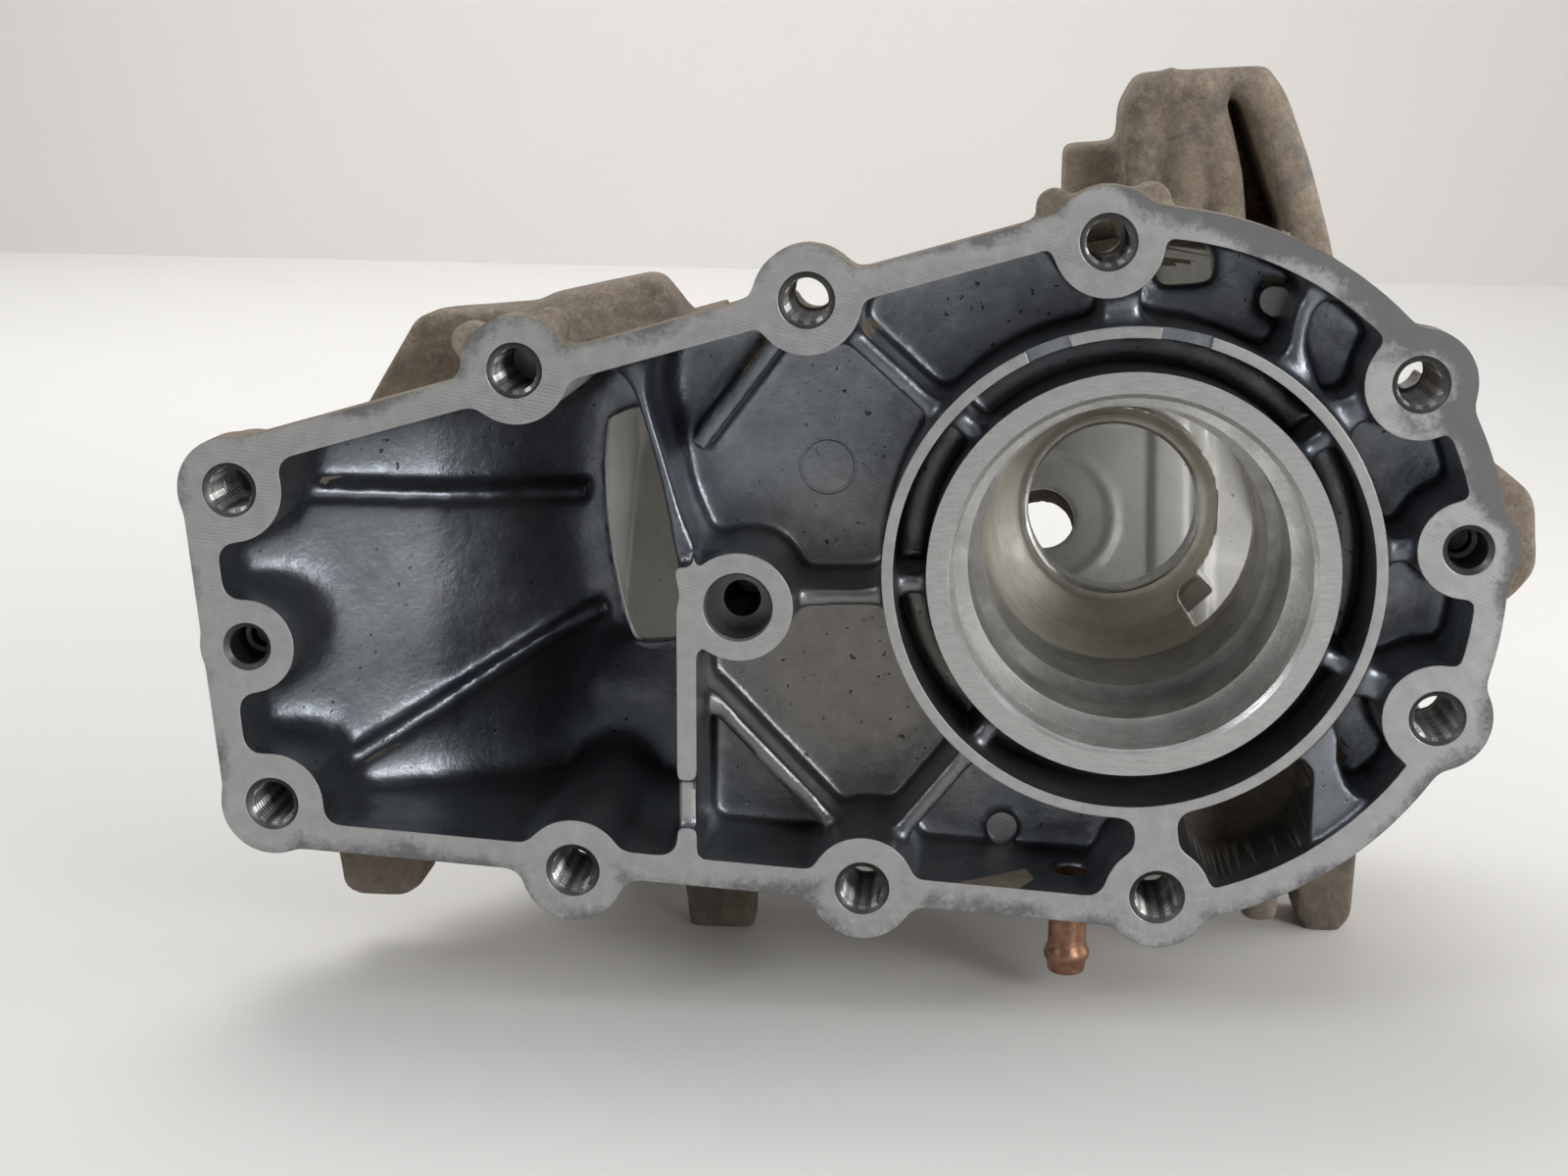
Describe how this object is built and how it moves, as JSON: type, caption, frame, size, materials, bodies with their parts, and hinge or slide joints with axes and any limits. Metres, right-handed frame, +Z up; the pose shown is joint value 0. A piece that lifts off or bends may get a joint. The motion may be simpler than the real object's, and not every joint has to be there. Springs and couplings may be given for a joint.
{
  "type": "gearbox housing",
  "caption": "Cast light-alloy gearbox housing half with a flanged joint face, stepped bearing bore, ribbed pockets, rear chamber, feet, lugs and a hose nipple.",
  "frame": {"origin": "centre of the main bearing bore in the plane of the joint face", "axes": "+X to the right along the joint face, +Y into the housing along the main bore, +Z up"},
  "size_m": [0.2807, 0.1495, 0.1955],
  "materials": {
    "cast_alloy": "die-cast skin with machined faces, dulled and stained",
    "nipple": "dull copper-coloured"
  },
  "bodies": {
    "root": {"housing": "cast_alloy", "hose_nipple": "nipple"}
  },
  "joints": []
}
